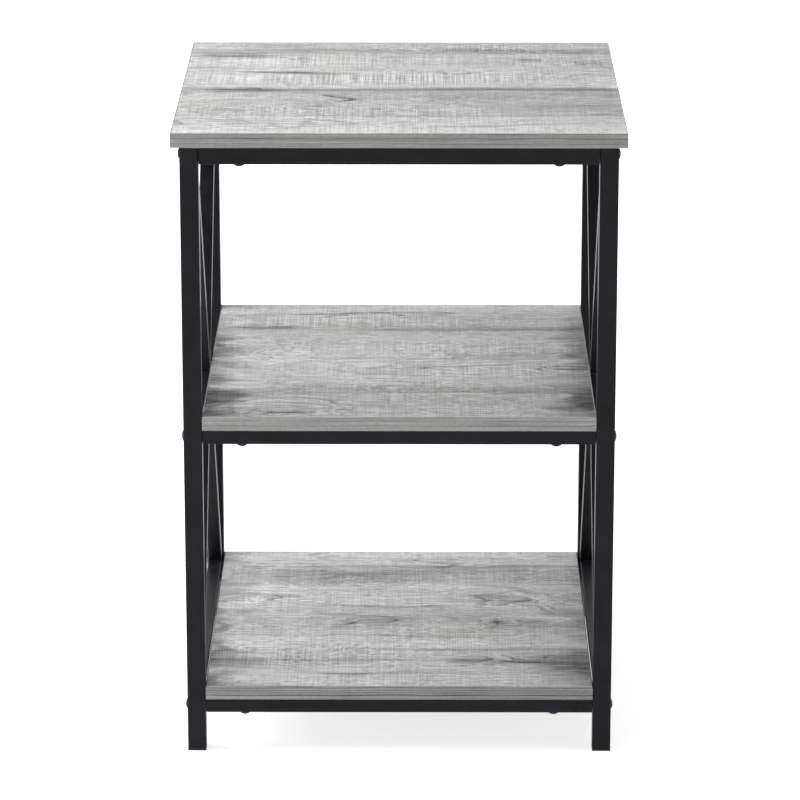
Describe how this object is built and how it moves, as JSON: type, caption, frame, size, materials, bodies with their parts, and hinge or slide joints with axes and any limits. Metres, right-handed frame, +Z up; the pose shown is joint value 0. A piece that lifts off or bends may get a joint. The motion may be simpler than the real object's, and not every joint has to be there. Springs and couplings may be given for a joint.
{
  "type": "side table",
  "caption": "Tall square side table: a top and shelves of grey wood-grain board on a bolted black frame of square tube, with an X brace on each side.",
  "frame": {"origin": "on the floor, under the middle of the table", "axes": "+Z up, -Y towards the front of the table, +X to the right as seen from the front"},
  "size_m": [0.457, 0.457, 0.66],
  "materials": {
    "board_laminate": "matt grey-wash wood-grain laminate, grain running left to right, with plank bands, knots and saw marks",
    "edging_strip": "matt wood-grain edging, darker than the faces, with fine stripes along its length",
    "frame_paint": "satin black powder coat with a fine texture",
    "bolt_black": "satin black coated steel",
    "plate_steel": "raw steel plate",
    "foot_plastic": "matt black moulded plastic"
  },
  "bodies": {
    "root": {"top_board": "board_laminate", "middle_shelf": "board_laminate", "bottom_shelf": "board_laminate", "top_board_edging": "edging_strip", "middle_shelf_edging": "edging_strip", "bottom_shelf_edging": "edging_strip", "front_left_leg": "frame_paint", "front_right_leg": "frame_paint", "back_left_leg": "frame_paint", "back_right_leg": "frame_paint", "left_top_side_rail": "frame_paint", "right_top_side_rail": "frame_paint", "left_bottom_side_rail": "frame_paint", "right_bottom_side_rail": "frame_paint", "left_long_brace": "frame_paint", "left_upper_brace": "frame_paint", "left_lower_brace": "frame_paint", "right_long_brace": "frame_paint", "right_upper_brace": "frame_paint", "right_lower_brace": "frame_paint", "front_top_rail": "frame_paint", "back_top_rail": "frame_paint", "front_middle_rail": "frame_paint", "back_middle_rail": "frame_paint", "front_bottom_rail": "frame_paint", "back_bottom_rail": "frame_paint", "top_rail_nuts": "plate_steel", "shelf_rail_nuts": "plate_steel", "frame_bolts": "bolt_black", "top_board_screws": "bolt_black", "shelf_screws": "bolt_black", "front_left_foot": "foot_plastic", "front_right_foot": "foot_plastic", "back_left_foot": "foot_plastic", "back_right_foot": "foot_plastic"}
  },
  "joints": []
}
